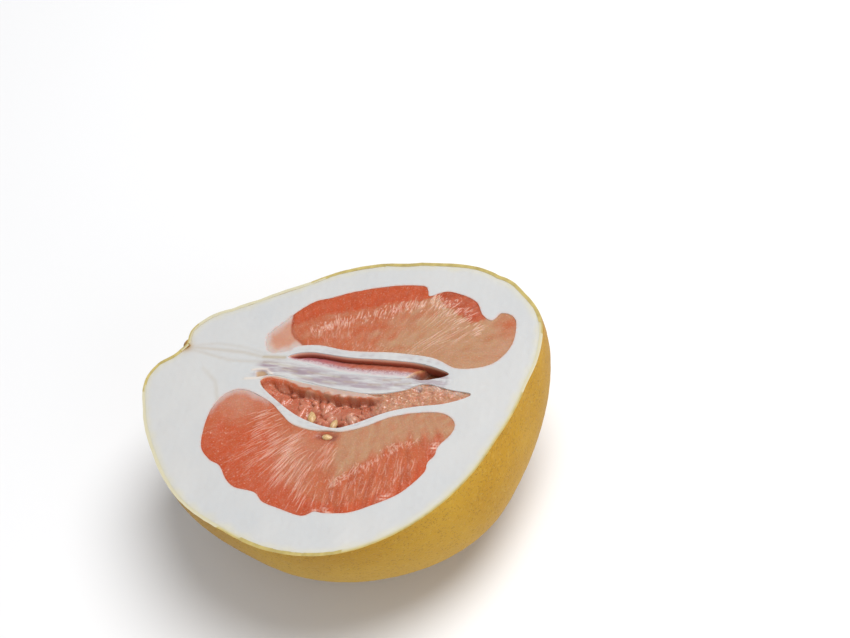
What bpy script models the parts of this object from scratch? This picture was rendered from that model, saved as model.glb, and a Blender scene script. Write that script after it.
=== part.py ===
# Half a pomelo, cut from the stem to the blossom end, lying on its rounded side.
# +X runs from the stem to the blossom end and +Z is up, square to the cut face.
# The origin is on the table, under the middle of the fruit.

import math

import bmesh
import bpy
from mathutils import Matrix, Vector

# Driving dimensions: shapes are worked out in millimetres and written in metres.
# MIDDLE is the middle of the whole length and width, seen from the centre of the cut face.
MM = 0.001
FACE_HEIGHT = 75.6
MIDDLE = (0.37, 0.8)
RIND_THICKNESS = 1.5
GAP = 0.3
ROUND_SEGMENTS = 40
LENGTH_SEGMENTS = 28
STEM_CROWDING = 1.15

# Distance from the middle of the cut face to the skin, by the angle from the stem,
# along the upper and the lower side of the cut and straight down under it
UPPER_PROFILE = (
    (0, 73.7), (5, 75.8), (13, 72.6), (19, 67.2), (30, 61.2), (49, 57.7), (68, 60.3), (82, 63.8),
    (96, 69.2), (121, 85.5), (131, 91.0), (140, 93.8), (150, 91.5), (160, 86.8), (180, 82.3),
)
LOWER_PROFILE = (
    (0, 73.7), (5, 76.5), (9, 81.8), (15, 84.7), (25, 81.8), (42, 76.8), (65, 73.7), (84, 71.9),
    (100, 74.1), (125, 78.5), (150, 80.7), (180, 82.3),
)
UNDER_PROFILE = (
    (0, 73.7), (12, 80.5), (30, 87.0), (50, 84.0), (65, 79.0), (80, 76.2), (100, 77.0), (120, 80.3),
    (140, 87.0), (152, 87.5), (165, 85.5), (180, 82.3),
)

# How far the lower side swells out just under the cut, most of all towards the stem
LOWER_SWELL = 4.0

# Outlines on the cut face: the pulp segments, the cleft and the opened segment
UPPER_PULP = (
    (-34.3, 8.6), (-39.8, 15.2), (-36.5, 23.2), (-33.6, 29), (-28.6, 36.4), (-21.6, 41), (-13.4, 46.7),
    (1, 54.2), (14, 58.5), (17.4, 57.3), (20, 55), (27, 59.5), (40, 59), (46.5, 54), (51.3, 52.5),
    (53, 54.3), (54.2, 57.2), (59, 57.4), (63, 54), (66, 44), (62, 34), (50, 28), (37, 29), (20, 26),
    (0, 20.5), (-14, 18.7), (-23.5, 15.2), (-26.5, 11.8),
)
LOWER_PULP = (
    (-38.5, -40), (-43.5, -26), (-42, -16.5), (-35, -11.4), (-21, -12.6), (-12.8, -15.8), (-5, -18.7),
    (4.5, -18.6), (12, -16.3), (18.5, -14.6), (26, -9.4), (35, -1.4), (45, 4), (55, 7), (61.3, 5.2),
    (63, 0.5), (60.8, -6.8), (61.4, -11), (60.4, -15), (61.2, -20), (56.4, -31), (47.1, -40.6),
    (40.2, -45.9), (31.1, -49.4), (26.7, -50.2), (22.5, -53.8), (12.2, -54.2), (3.2, -54),
    (-2.8, -51.5), (-12.5, -52.4), (-18.5, -50.3), (-24.5, -46.1), (-31.2, -44.9),
)
CLEFT = (
    (-25, 8.5), (-17, 14), (0, 17), (14, 20.5), (29, 24), (40, 25), (47.5, 24.2), (42.5, 20.2),
    (37.5, 17.9), (33, 17.4), (24, 14.8), (5, 10.6), (-10, 9.2),
)
OPENED_SEGMENT = (
    (-30, -5.8), (-27, -1.2), (-12, 0.6), (5, 2.2), (22, 5.6), (33, 11.2), (40, 16.6), (52, 17.8),
    (61.5, 18.6), (53, 11.5), (41, 5.8), (31, -0.5), (20, -10.2), (12, -14.4), (-4, -14.4),
    (-20, -10.2),
)
OUTLINE_STEPS = 3

# How far each pocket in the pith reaches down: centre, and half sizes of a rounded bottom
PULP_BED = ((10, 2, 0), (75, 75, 52))
CLEFT_BED = ((11, 16, 0), (45, 30, 22))
OPENED_BED = ((14, 1, 0), (60, 40, 30))

# Juice sacs: the point they fan out from, degrees for one row, length and height of a sac
UPPER_SACS = ((4, 0), 4.0, 14.0, 1.3)
LOWER_SACS = ((14, 8), 4.2, 15.0, 1.4)
SAC_CELL = 6.0
RELIEF_STEP = 1.9

# Seeds: place on the face plane, depth of the middle, turn in degrees and share of the full size.
# The first two lie in the opened segment and the last in the lower segment, just past the wall.
SEEDS = (
    ((-1.8, -10.9), -5.2, 123, 1.0),
    ((10.0, -11.0), -4.5, 100, 0.8),
    ((12.8, -18.5), -1.3, 18, 0.7),
)
SEED_SIZE = (3.4, 2.0, 1.7)
STEM_SCAR_SIZE = (1.8, 2.6, 2.6)

# Colours as red, green and blue, with a roughness
RIND_LOOK = ((0.66, 0.40, 0.06), 0.45)
PITH_LOOK = ((0.72, 0.69, 0.67), 0.75)
UPPER_PULP_LOOK = ((0.68, 0.22, 0.13), 0.3)
LOWER_PULP_LOOK = ((0.58, 0.19, 0.09), 0.3)
OPENED_LOOK = ((0.45, 0.14, 0.06), 0.35)
CLEFT_LOOK = ((0.30, 0.08, 0.05), 0.4)
SEED_LOOK = ((0.75, 0.62, 0.30), 0.5)
SCAR_LOOK = ((0.30, 0.20, 0.08), 0.85)


def clear_scene():
    for old in list(bpy.data.objects):
        bpy.data.objects.remove(old, do_unlink=True)


def new_collection(name):
    group = bpy.data.collections.new(name)
    bpy.context.scene.collection.children.link(group)
    return group


def new_material(name, look):
    colour, roughness = look
    material = bpy.data.materials.new(name)
    material.use_nodes = True
    shader = material.node_tree.nodes["Principled BSDF"]
    shader.inputs["Base Color"].default_value = (*colour, 1.0)
    shader.inputs["Roughness"].default_value = roughness
    shader.inputs["Metallic"].default_value = 0.0
    material.diffuse_color = (*colour, 1.0)
    return material


def add_object(name, mesh, group, parent):
    item = bpy.data.objects.new(name, mesh)
    group.objects.link(item)
    item.parent = parent
    return item


def mesh_from(bm, name):
    mesh = bpy.data.meshes.new(name)
    bm.transform(Matrix.Scale(MM, 4))
    bm.to_mesh(mesh)
    bm.free()
    mesh.shade_smooth()
    mesh.set_sharp_from_angle(angle=math.radians(40))
    return mesh


def finish_piece(item, look):
    item.data.materials.append(new_material(item.name, look))


def as_cutter(item):
    item.hide_render = True
    item.display_type = "WIRE"


def add_boolean(item, cutter, operation):
    step = item.modifiers.new(cutter.name, "BOOLEAN")
    step.operation = operation
    step.solver = "EXACT"
    step.object = cutter


def blend(p0, p1, p2, p3, t):
    # A smooth curve from p1 to p2, with its slopes taken from the neighbours
    return 0.5 * (
        2 * p1
        + (p2 - p0) * t
        + (2 * p0 - 5 * p1 + 4 * p2 - p3) * t * t
        + (3 * p1 - p0 - 3 * p2 + p3) * t ** 3
    )


def along_profile(profile, angle):
    last = len(profile) - 1
    place = 0
    while place < last - 1 and angle > profile[place + 1][0]:
        place += 1
    start, end = profile[place], profile[place + 1]
    t = (angle - start[0]) / (end[0] - start[0])
    before = profile[max(place - 1, 0)][1]
    after = profile[min(place + 2, last)][1]
    return blend(before, start[1], end[1], after, t)


def skin_point(direction):
    # Moves a point of the unit sphere, whose poles are on X, out to the skin
    turn = math.acos(max(-1.0, min(1.0, -direction.x)))
    turn = math.pi * (turn / math.pi) ** STEM_CROWDING
    roll = math.atan2(direction.z, direction.y)
    is_upper = math.cos(roll) > 0
    side = UPPER_PROFILE if is_upper else LOWER_PROFILE
    swell = 0.0 if is_upper else LOWER_SWELL * abs(math.sin(2 * roll))
    share = math.cos(roll) ** 2
    degrees = math.degrees(turn)
    radius = share * along_profile(side, degrees) + (1 - share) * along_profile(UNDER_PROFILE, degrees)
    radius += swell * math.sin(turn) * math.cos(turn / 2) ** 2
    across = radius * math.sin(turn)
    return Vector((-radius * math.cos(turn), across * math.cos(roll), across * math.sin(roll)))


def half_shell(inset):
    # The open lower half of the fruit's surface, moved inwards by the inset
    bm = bmesh.new()
    bmesh.ops.create_uvsphere(
        bm, u_segments=ROUND_SEGMENTS, v_segments=LENGTH_SEGMENTS, radius=1.0,
        matrix=Matrix.Rotation(math.radians(90), 4, "Y"),
    )
    for vert in bm.verts:
        vert.co = skin_point(vert.co)
    bm.normal_update()
    moves = [vert.normal * inset for vert in bm.verts]
    for vert, move in zip(bm.verts, moves):
        vert.co -= move
        if abs(vert.co.z) < 0.01:
            vert.co.z = 0.0
    above = [vert for vert in bm.verts if vert.co.z > 0]
    bmesh.ops.delete(bm, geom=above, context="VERTS")
    return bm


def flatten_rest(bm, level):
    # Cuts a small flat spot under the fruit and closes it
    cut = bmesh.ops.bisect_plane(
        bm, geom=bm.verts[:] + bm.edges[:] + bm.faces[:], dist=0.0001,
        plane_co=(0, 0, level), plane_no=(0, 0, -1), clear_outer=True,
    )
    edges = [item for item in cut["geom_cut"] if isinstance(item, bmesh.types.BMEdge)]
    bmesh.ops.contextual_create(bm, geom=edges)


def rim_edges(bm):
    return [edge for edge in bm.edges if edge.is_boundary and all(v.co.z == 0 for v in edge.verts)]


def make_rind(group, parent):
    outer = half_shell(0.0)
    flatten_rest(outer, -FACE_HEIGHT)
    inner = half_shell(RIND_THICKNESS)
    bmesh.ops.reverse_faces(inner, faces=inner.faces[:])
    spare = bpy.data.meshes.new("inner")
    inner.to_mesh(spare)
    inner.free()
    outer.from_mesh(spare)
    bpy.data.meshes.remove(spare)
    bmesh.ops.bridge_loops(outer, edges=rim_edges(outer))
    bmesh.ops.recalc_face_normals(outer, faces=outer.faces[:])
    return add_object("rind", mesh_from(outer, "rind"), group, parent)


def make_pith_body(group, parent):
    bm = half_shell(RIND_THICKNESS + GAP)
    bmesh.ops.contextual_create(bm, geom=rim_edges(bm))
    bmesh.ops.recalc_face_normals(bm, faces=bm.faces[:])
    return add_object("pith", mesh_from(bm, "pith"), group, parent)


def smooth_outline(points, inset):
    # A rounded closed outline through the points, moved inwards by the inset
    count = len(points)
    dense = []
    for index in range(count):
        near = [Vector(points[(index + step) % count]) for step in (-1, 0, 1, 2)]
        for step in range(OUTLINE_STEPS):
            dense.append(blend(*near, step / OUTLINE_STEPS))
    total = len(dense)
    area = sum(dense[index - 1].cross(dense[index]) for index in range(total))
    turn = 1 if area > 0 else -1
    moved = []
    for index, point in enumerate(dense):
        along = (dense[(index + 1) % total] - dense[index - 1]).normalized()
        moved.append(point + Vector((-along.y, along.x)) * turn * inset)
    return moved


def outline_prism(name, points, inset, top, bottom, group, parent):
    # An upright prism, first drawn as a filled flat curve
    dense = smooth_outline(points, inset)
    curve = bpy.data.curves.new(name, "CURVE")
    curve.dimensions = "2D"
    curve.fill_mode = "BOTH"
    curve.extrude = (top - bottom) / 2 * MM
    spline = curve.splines.new("POLY")
    spline.points.add(len(dense) - 1)
    spline.use_cyclic_u = True
    for knot, point in zip(spline.points, dense):
        knot.co = (point.x * MM, point.y * MM, 0, 1)
    drawn = bpy.data.objects.new(name + "_curve", curve)
    bpy.context.scene.collection.objects.link(drawn)
    bpy.context.view_layer.update()
    mesh = bpy.data.meshes.new_from_object(drawn.evaluated_get(bpy.context.evaluated_depsgraph_get()))
    bpy.data.objects.remove(drawn, do_unlink=True)
    bm = bmesh.new()
    bm.from_mesh(mesh)
    bmesh.ops.remove_doubles(bm, verts=bm.verts[:], dist=0.000001)
    bmesh.ops.translate(bm, verts=bm.verts[:], vec=(0, 0, (top + bottom) / 2 * MM))
    bmesh.ops.recalc_face_normals(bm, faces=bm.faces[:])
    bm.to_mesh(mesh)
    bm.free()
    item = add_object(name, mesh, group, parent)
    as_cutter(item)
    return item


def rounded_bed(name, bed, inset, group, parent):
    # An ellipsoid that rounds off the bottom of a pocket, or of what lies in it
    centre, half = bed
    bm = bmesh.new()
    bmesh.ops.create_uvsphere(bm, u_segments=32, v_segments=18, radius=1.0)
    bmesh.ops.scale(bm, verts=bm.verts[:], vec=[size - inset for size in half])
    bmesh.ops.translate(bm, verts=bm.verts[:], vec=centre)
    item = add_object(name, mesh_from(bm, name), group, parent)
    as_cutter(item)
    return item


def cut_pocket(pith, name, outline, bed, cutters, parent):
    top = 5.0
    prism = outline_prism(name + "_pocket", outline, 0.0, top, -bed[1][2] - top, cutters, parent)
    add_boolean(prism, rounded_bed(name + "_bed", bed, 0.0, cutters, parent), "INTERSECT")
    add_boolean(pith, prism, "DIFFERENCE")


def scatter(column, row):
    # A fixed number from 0 to 1 for each cell
    value = math.sin(column * 127.1 + row * 311.7) * 43758.5453
    return value - math.floor(value)


def sac_rows(x, y, sacs):
    # Long juice sacs that fan out from one point, each row shifted along its length
    (fan_x, fan_y), spread, length, height = sacs
    lane = math.degrees(math.atan2(y - fan_y, x - fan_x)) / spread
    row = math.floor(lane)
    reach = math.hypot(x - fan_x, y - fan_y) / length + scatter(row, 1)
    across = math.sin(math.pi * (lane - row))
    along = math.sin(math.pi * (reach - math.floor(reach)))
    tilt = scatter(row, math.floor(reach))
    return height * (across ** 0.6 * (0.5 + 0.3 * along ** 0.5) + 0.2 * tilt)


def sac_ends(x, y, height):
    # Rounded ends of juice sacs, each somewhere in its own cell
    column, row = math.floor(x / SAC_CELL), math.floor(y / SAC_CELL)
    best = 0.0
    for i in (column - 1, column, column + 1):
        for j in (row - 1, row, row + 1):
            middle_x = (i + 0.25 + 0.5 * scatter(i, j)) * SAC_CELL
            middle_y = (j + 0.25 + 0.5 * scatter(j + 40, i)) * SAC_CELL
            size = SAC_CELL * (0.5 + 0.25 * scatter(i, j + 90))
            away = math.hypot(x - middle_x, y - middle_y) / size
            best = max(best, 1 - away * away)
    return height * math.sqrt(max(best, 0.0))


def upper_surface(x, y):
    return -1.9 + sac_rows(x, y, UPPER_SACS)


def lower_surface(x, y):
    return -2.0 + sac_rows(x, y, LOWER_SACS)


def opened_surface(x, y):
    # Low in the middle, with a ridge under the strip above it, and full at the blossom end
    ridge = 4.0 * math.exp(-(((y - 0.34 * x + 3.0) / 4.0) ** 2))
    rise = 4.5 / (1 + math.exp(-(x - 34.0) / 5.0))
    return min(-0.8, -9.0 + ridge + rise + sac_ends(x, y, 2.2))


def cleft_surface(x, y):
    # Slopes down from the strip to the foot of the upper wall
    across = (y - 8.0 - 0.27 * x) / 8.0
    depth = 1.6 + 11.0 * max(0.0, min(1.0, across))
    return -depth + sac_ends(x, y, 1.0)


def relief_slab(name, outline, surface, bottom, group, parent):
    # A block over the outline whose top follows the surface
    xs = [point[0] for point in outline]
    ys = [point[1] for point in outline]
    margin = 4.0
    size_x, size_y = max(xs) - min(xs) + 2 * margin, max(ys) - min(ys) + 2 * margin
    middle_x, middle_y = (max(xs) + min(xs)) / 2, (max(ys) + min(ys)) / 2
    bm = bmesh.new()
    bmesh.ops.create_grid(
        bm, x_segments=round(size_x / RELIEF_STEP), y_segments=round(size_y / RELIEF_STEP), size=0.5,
    )
    for vert in bm.verts:
        x = middle_x + vert.co.x * size_x
        y = middle_y + vert.co.y * size_y
        vert.co = (x, y, surface(x, y))
    grown = bmesh.ops.extrude_face_region(bm, geom=bm.faces[:])
    for item in grown["geom"]:
        if isinstance(item, bmesh.types.BMVert):
            item.co.z = bottom
    bmesh.ops.recalc_face_normals(bm, faces=bm.faces[:])
    return add_object(name, mesh_from(bm, name), group, parent)


def make_pulp(name, outline, bed, surface, look, group, cutters, parent):
    floor = -bed[1][2] - 6.0
    pulp = relief_slab(name, outline, surface, floor, group, parent)
    prism = outline_prism(name + "_outline", outline, GAP, 6.0, floor - 6.0, cutters, parent)
    bowl = rounded_bed(name + "_round", bed, GAP, cutters, parent)
    add_boolean(pulp, prism, "INTERSECT")
    add_boolean(pulp, bowl, "INTERSECT")
    finish_piece(pulp, look)
    return pulp


def seed_mesh(name, share, grow):
    # A small drop, pointed at one end
    bm = bmesh.new()
    bmesh.ops.create_uvsphere(
        bm, u_segments=12, v_segments=8, radius=1.0, matrix=Matrix.Rotation(math.radians(90), 4, "Y"),
    )
    for vert in bm.verts:
        taper = 1.0 - 0.38 * max(0.0, vert.co.x)
        length, width, height = (size * share + grow for size in SEED_SIZE)
        vert.co = (vert.co.x * length, vert.co.y * width * taper, vert.co.z * height * taper)
    return mesh_from(bm, name)


def make_seeds(opened, lower, group, cutters, parent):
    beds = (opened, opened, lower)
    for number, (((x, y), depth, turn, share), pulp) in enumerate(zip(SEEDS, beds), start=1):
        seed = add_object(f"seed_{number}", seed_mesh(f"seed_{number}", share, 0.0), group, parent)
        nest_mesh = seed_mesh(f"seed_{number}_nest", share, GAP)
        nest = add_object(f"seed_{number}_nest", nest_mesh, cutters, parent)
        for item in (seed, nest):
            item.location = (x * MM, y * MM, depth * MM)
            item.rotation_euler = (0, math.radians(8), math.radians(turn))
        as_cutter(nest)
        add_boolean(pulp, nest, "DIFFERENCE")
        finish_piece(seed, SEED_LOOK)


def scar_mesh(grow):
    # The rounded button that sits in the hollow at the stem end
    bm = bmesh.new()
    bmesh.ops.create_uvsphere(bm, u_segments=16, v_segments=10, radius=1.0)
    bmesh.ops.scale(bm, verts=bm.verts[:], vec=[size + grow for size in STEM_SCAR_SIZE])
    bmesh.ops.translate(bm, verts=bm.verts[:], vec=(-UNDER_PROFILE[0][1] + 0.5, 0, 0))
    return bm


def make_stem_scar(rind, pith, group, cutters, parent):
    # Half of the dry button that the stem leaves, cut with the fruit
    bm = scar_mesh(0.0)
    cut = bmesh.ops.bisect_plane(
        bm, geom=bm.verts[:] + bm.edges[:] + bm.faces[:], dist=0.0001,
        plane_co=(0, 0, 0), plane_no=(0, 0, 1), clear_outer=True,
    )
    edges = [item for item in cut["geom_cut"] if isinstance(item, bmesh.types.BMEdge)]
    bmesh.ops.contextual_create(bm, geom=edges)
    scar = add_object("stem_scar", mesh_from(bm, "stem_scar"), group, parent)
    finish_piece(scar, SCAR_LOOK)
    nest_mesh = mesh_from(scar_mesh(GAP), "stem_scar_nest")
    nest = add_object("stem_scar_nest", nest_mesh, cutters, parent)
    as_cutter(nest)
    add_boolean(rind, nest, "DIFFERENCE")
    add_boolean(pith, nest, "DIFFERENCE")


def main():
    clear_scene()
    group = new_collection("valentine_pomelo_half")
    cutters = new_collection("cutters")
    face = bpy.data.objects.new("cut_face_level", None)
    group.objects.link(face)
    face.location = (-MIDDLE[0] * MM, -MIDDLE[1] * MM, FACE_HEIGHT * MM)

    rind = make_rind(group, face)
    finish_piece(rind, RIND_LOOK)
    pith = make_pith_body(group, face)
    finish_piece(pith, PITH_LOOK)
    cut_pocket(pith, "pulp_upper", UPPER_PULP, PULP_BED, cutters, face)
    cut_pocket(pith, "pulp_lower", LOWER_PULP, PULP_BED, cutters, face)
    cut_pocket(pith, "pulp_cleft", CLEFT, CLEFT_BED, cutters, face)
    cut_pocket(pith, "pulp_opened", OPENED_SEGMENT, OPENED_BED, cutters, face)

    make_pulp("pulp_upper", UPPER_PULP, PULP_BED, upper_surface, UPPER_PULP_LOOK, group, cutters, face)
    lower = make_pulp(
        "pulp_lower", LOWER_PULP, PULP_BED, lower_surface, LOWER_PULP_LOOK, group, cutters, face,
    )
    make_pulp("pulp_cleft", CLEFT, CLEFT_BED, cleft_surface, CLEFT_LOOK, group, cutters, face)
    opened = make_pulp(
        "pulp_opened", OPENED_SEGMENT, OPENED_BED, opened_surface, OPENED_LOOK, group, cutters, face,
    )
    make_seeds(opened, lower, group, cutters, face)
    make_stem_scar(rind, pith, group, cutters, face)


main()
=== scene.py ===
import math

import bpy
import numpy as np
from mathutils import Matrix, Vector


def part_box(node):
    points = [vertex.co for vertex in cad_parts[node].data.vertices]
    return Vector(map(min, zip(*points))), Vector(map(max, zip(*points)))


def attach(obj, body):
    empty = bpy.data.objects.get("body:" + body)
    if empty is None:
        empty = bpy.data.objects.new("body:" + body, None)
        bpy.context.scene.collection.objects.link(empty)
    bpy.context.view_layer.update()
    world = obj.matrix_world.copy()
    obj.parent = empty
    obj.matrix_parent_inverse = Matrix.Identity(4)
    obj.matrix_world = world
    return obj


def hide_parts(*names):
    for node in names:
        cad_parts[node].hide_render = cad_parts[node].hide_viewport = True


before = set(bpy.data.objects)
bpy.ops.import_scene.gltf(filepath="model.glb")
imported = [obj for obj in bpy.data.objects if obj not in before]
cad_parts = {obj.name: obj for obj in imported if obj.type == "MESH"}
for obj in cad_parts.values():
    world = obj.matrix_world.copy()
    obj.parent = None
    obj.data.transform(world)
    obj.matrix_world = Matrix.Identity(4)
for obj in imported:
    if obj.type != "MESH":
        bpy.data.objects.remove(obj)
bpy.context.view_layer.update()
bpy.ops.object.select_all(action="DESELECT")
print("frame loaded")

mm = 0.001
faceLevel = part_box("pith")[1][2]  # height of the cut face above the table
faceCentre = Vector((-0.37 * mm, -0.8 * mm, faceLevel))  # outlines are drawn round this point

# Distance from the face centre to the skin, in mm, by the angle from the stem
skin = {
    "upper": (
        (0, 73.7), (5, 75.8), (13, 72.6), (19, 67.2), (30, 61.2), (49, 57.7), (68, 60.3), (82, 63.8),
        (96, 69.2), (121, 85.5), (131, 91.0), (140, 93.8), (150, 91.5), (160, 86.8), (180, 82.3),
    ),
    "lower": (
        (0, 73.7), (5, 76.5), (9, 81.8), (15, 84.7), (25, 81.8), (42, 76.8), (65, 73.7), (84, 71.9),
        (100, 74.1), (125, 78.5), (150, 80.7), (180, 82.3),
    ),
    "under": (
        (0, 73.7), (12, 80.5), (30, 87.0), (50, 84.0), (65, 79.0), (80, 76.2), (100, 77.0), (120, 80.3),
        (140, 87.0), (152, 87.5), (165, 85.5), (180, 82.3),
    ),
    "swell": 4.0,
    "crowding": 1.15,
    "thickness": 1.5,
}

# Outlines of the segments on the cut face, in mm
outlines = {
    "upper": (
        (-34.3, 8.6), (-39.8, 15.2), (-36.5, 23.2), (-33.6, 29), (-28.6, 36.4), (-21.6, 41), (-13.4, 46.7),
        (1, 54.2), (14, 58.5), (17.4, 57.3), (20, 55), (27, 59.5), (40, 59), (46.5, 54), (51.3, 52.5),
        (53, 54.3), (54.2, 57.2), (59, 57.4), (63, 54), (66, 44), (62, 34), (50, 28), (37, 29), (20, 26),
        (0, 20.5), (-14, 18.7), (-23.5, 15.2), (-26.5, 11.8),
    ),
    "lower": (
        (-38.5, -40), (-43.5, -26), (-42, -16.5), (-35, -11.4), (-21, -12.6), (-12.8, -15.8), (-5, -18.7),
        (4.5, -18.6), (12, -16.3), (18.5, -14.6), (26, -9.4), (35, -1.4), (45, 4), (55, 7), (61.3, 5.2),
        (63, 0.5), (60.8, -6.8), (61.4, -11), (60.4, -15), (61.2, -20), (56.4, -31), (47.1, -40.6),
        (40.2, -45.9), (31.1, -49.4), (26.7, -50.2), (22.5, -53.8), (12.2, -54.2), (3.2, -54),
        (-2.8, -51.5), (-12.5, -52.4), (-18.5, -50.3), (-24.5, -46.1), (-31.2, -44.9),
    ),
    "cleft": (
        (-25, 8.5), (-17, 14), (0, 17), (14, 20.5), (29, 24), (40, 25), (47.5, 24.2), (42.5, 20.2),
        (37.5, 17.9), (33, 17.4), (24, 14.8), (5, 10.6), (-10, 9.2),
    ),
    "opened": (
        (-30, -5.8), (-27, -1.2), (-12, 0.6), (5, 2.2), (22, 5.6), (33, 11.2), (40, 16.6), (52, 17.8),
        (61.5, 18.6), (53, 11.5), (41, 5.8), (31, -0.5), (20, -10.2), (12, -14.4), (-4, -14.4),
        (-20, -10.2),
    ),
}

# Rounded bottoms of the segments, in mm: centre and half sizes
beds = {
    "upper": ((10, 2, 0), (75, 75, 52)),
    "lower": ((10, 2, 0), (75, 75, 52)),
    "cleft": ((11, 16, 0), (45, 30, 22)),
    "opened": ((14, 1, 0), (60, 40, 30)),
}


def bedFloor(outline):
    # A height that is clear under a segment's bed
    return -beds[outline][1][2] - 4


# Small helpers for meshes

def readVectors(items, key):
    flat = np.empty(len(items) * 3)
    items.foreach_get(key, flat)
    return flat.reshape(-1, 3)


def getPoints(item):
    # Points in mm from the face centre
    return (readVectors(item.data.vertices, "co") - np.array(faceCentre)) / mm


def setPoints(item, points):
    item.data.vertices.foreach_set("co", (points * mm + np.array(faceCentre)).ravel())
    item.data.update()


def setMark(item, name, values):
    # A number for each point, which the piece's material reads by name
    mark = item.data.attributes.get(name) or item.data.attributes.new(name, "FLOAT", "POINT")
    mark.data.foreach_set("value", np.asarray(values, dtype=np.float32))


def makeActive(item):
    bpy.ops.object.select_all(action="DESELECT")
    item.select_set(True)
    bpy.context.view_layer.objects.active = item


def setMode(mode):
    bpy.ops.object.mode_set(mode=mode)


def editAll(item):
    makeActive(item)
    setMode("EDIT")
    bpy.ops.mesh.select_all(action="SELECT")


def applyModifier(item, kind, **settings):
    makeActive(item)
    step = item.modifiers.new(kind.title(), kind)
    for key, value in settings.items():
        setattr(step, key, value)
    bpy.ops.object.modifier_apply(modifier=step.name)


def cutWith(item, tool, operation):
    before = len(item.data.vertices)
    applyModifier(item, "BOOLEAN", operation=operation, solver="MANIFOLD", object=tool)
    if len(item.data.vertices) in (0, before):
        print("no cut:", item.name, tool.name)


def removeTools(*tools):
    for tool in tools:
        bpy.data.objects.remove(tool, do_unlink=True)


def ramp(low, high, values):
    t = np.clip((values - low) / (high - low), 0, 1)
    return t * t * (3 - 2 * t)


def curveBlend(p0, p1, p2, p3, t):
    # A smooth curve from p1 to p2, with p0 before it and p3 after it
    bend = (2 * p0 - 5 * p1 + 4 * p2 - p3) * t * t + (3 * p1 - p0 - 3 * p2 + p3) * t ** 3
    return 0.5 * (2 * p1 + (p2 - p0) * t + bend)


def alongProfile(profile, angles):
    xs = np.array([spot[0] for spot in profile], dtype=float)
    ys = np.array([spot[1] for spot in profile], dtype=float)
    place = np.clip(np.searchsorted(xs, angles) - 1, 0, len(xs) - 2)
    t = (angles - xs[place]) / (xs[place + 1] - xs[place])
    before = ys[np.maximum(place - 1, 0)]
    after = ys[np.minimum(place + 2, len(xs) - 1)]
    return curveBlend(before, ys[place], ys[place + 1], after, t)


def skinPoints(directions):
    # Moves points of a unit ball, poles on X, out to the fruit's skin
    turn = np.arccos(np.clip(-directions[:, 0], -1, 1))
    turn = math.pi * (turn / math.pi) ** skin["crowding"]
    roll = np.arctan2(directions[:, 2], directions[:, 1])
    degrees = np.degrees(turn)
    isUpper = np.cos(roll) > 0
    side = np.where(isUpper, alongProfile(skin["upper"], degrees), alongProfile(skin["lower"], degrees))
    share = np.cos(roll) ** 2
    radius = share * side + (1 - share) * alongProfile(skin["under"], degrees)
    swell = np.where(isUpper, 0.0, skin["swell"] * np.abs(np.sin(2 * roll)))
    radius += swell * np.sin(turn) * np.cos(turn / 2) ** 2
    across = radius * np.sin(turn)
    return np.stack([-radius * np.cos(turn), across * np.cos(roll), across * np.sin(roll)], axis=1)


def unitBall(name, segments, rings, turn=0):
    # A ball of radius 1 with its poles turned about Y, and its points
    bpy.ops.mesh.primitive_uv_sphere_add(
        segments=segments, ring_count=rings, radius=1, rotation=(0, math.radians(turn), 0),
    )
    ball = bpy.context.object
    ball.name = name
    bpy.ops.object.transform_apply(location=False, rotation=True, scale=False)
    return ball, readVectors(ball.data.vertices, "co")


def skinBall(name, inset, detail):
    # The whole fruit, with its skin set in by some mm
    ball, unit = unitBall(name, *detail, 90)
    setPoints(ball, skinPoints(unit))
    if inset:
        setPoints(ball, getPoints(ball) - readVectors(ball.data.vertex_normals, "vector") * inset)
    return ball


def trim(item, height, normal, fill):
    # Cuts the piece level at a height and clears the side that the normal points to
    editAll(item)
    bpy.ops.mesh.bisect(plane_co=(0, 0, height), plane_no=normal, use_fill=fill, clear_outer=True)
    setMode("OBJECT")


def fixNormals(item):
    editAll(item)
    bpy.ops.mesh.normals_make_consistent(inside=False)
    setMode("OBJECT")


def smoothOutline(points, steps):
    count = len(points)
    corners = np.array(points, dtype=float)
    dense = []
    for index in range(count):
        near = [corners[(index + step) % count] for step in (-1, 0, 1, 2)]
        for step in range(steps):
            dense.append(curveBlend(*near, step / steps))
    return np.array(dense)


def segmentOutline(outline, steps):
    return smoothOutline(outlines[outline], steps)


def outwardNormals(dense):
    before = np.roll(dense, 1, axis=0)
    along = np.roll(dense, -1, axis=0) - before
    along /= np.linalg.norm(along, axis=1)[:, None]
    area = np.sum(before[:, 0] * dense[:, 1] - dense[:, 0] * before[:, 1])
    return np.stack([-along[:, 1], along[:, 0]], axis=1) * (-1 if area > 0 else 1)


def outlineTool(outline, levels):
    # An upright block over an outline. Each level has its height and how far its walls stand out, in mm
    dense = segmentOutline(outline, 8)
    outward = outwardNormals(dense)
    bpy.ops.mesh.primitive_circle_add(vertices=len(dense), radius=1, fill_type="NGON")
    tool = bpy.context.object
    tool.name = outline + "Tool"
    setPoints(tool, np.c_[dense, np.zeros(len(dense))])
    editAll(tool)
    for _ in levels[1:]:
        bpy.ops.mesh.extrude_region_move(TRANSFORM_OT_translate={"value": (0, 0, mm)})
    setMode("OBJECT")
    points = getPoints(tool)
    heights, spreads = np.array(levels)[np.rint(points[:, 2]).astype(int)].T
    nearest = np.argmin(((points[:, None, :2] - dense[None]) ** 2).sum(2), axis=1)
    setPoints(tool, np.c_[dense[nearest] + outward[nearest] * spreads[:, None], heights])
    fixNormals(tool)
    return tool


def bedTool(outline, shrink=0.0):
    centre, half = beds[outline]
    tool, unit = unitBall(outline + "Bowl", 64, 40)
    setPoints(tool, unit * (np.array(half) - shrink) + np.array(centre))
    return tool


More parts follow.
